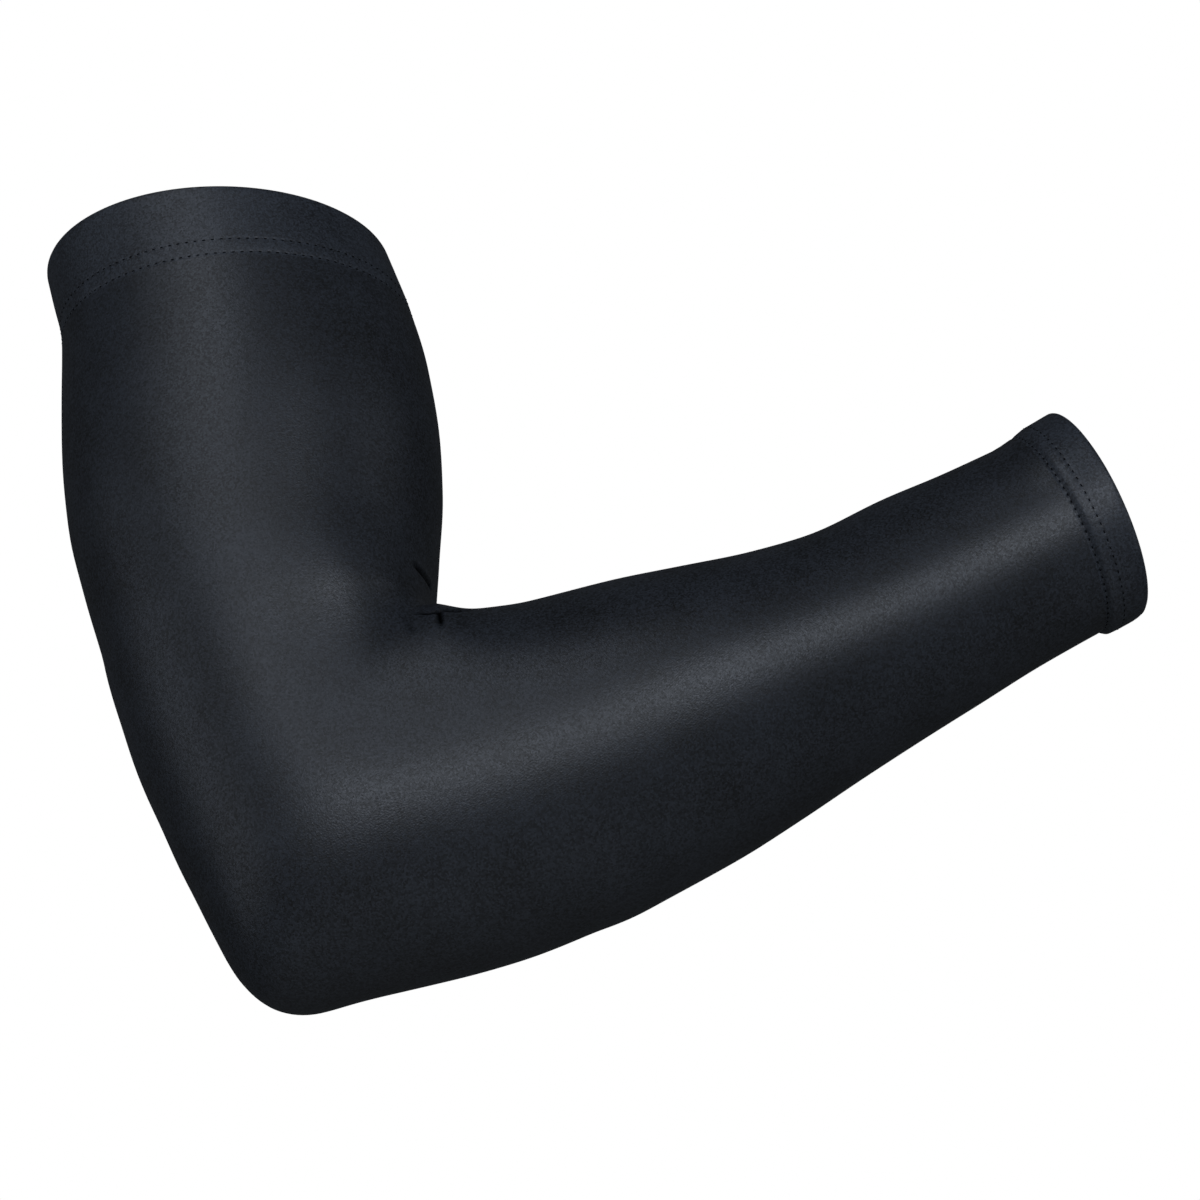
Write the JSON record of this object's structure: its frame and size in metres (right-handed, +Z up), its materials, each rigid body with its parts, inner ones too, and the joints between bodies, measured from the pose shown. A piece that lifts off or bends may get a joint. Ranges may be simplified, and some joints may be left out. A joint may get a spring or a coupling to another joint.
{
  "type": "arm sleeve",
  "caption": "Stretch-knit sleeve for a bent arm, upper arm to wrist, with a turned and double-stitched hem at each end.",
  "frame": {"origin": "middle of the elbow, where the centre lines of the upper arm and the forearm cross", "axes": "+Z up the upper arm, +X on the inner side of the elbow where the forearm points, rising 19 degrees; the arm bends in the XZ plane and Y runs across it"},
  "size_m": [0.3047, 0.098, 0.2363],
  "materials": {
    "sleeve_knit": "satin stretch knit",
    "hem_knit": "satin stretch knit, folded and stitched"
  },
  "bodies": {
    "root": {"sleeve_body": "sleeve_knit", "upper_hem": "hem_knit", "wrist_hem": "hem_knit"}
  },
  "joints": []
}
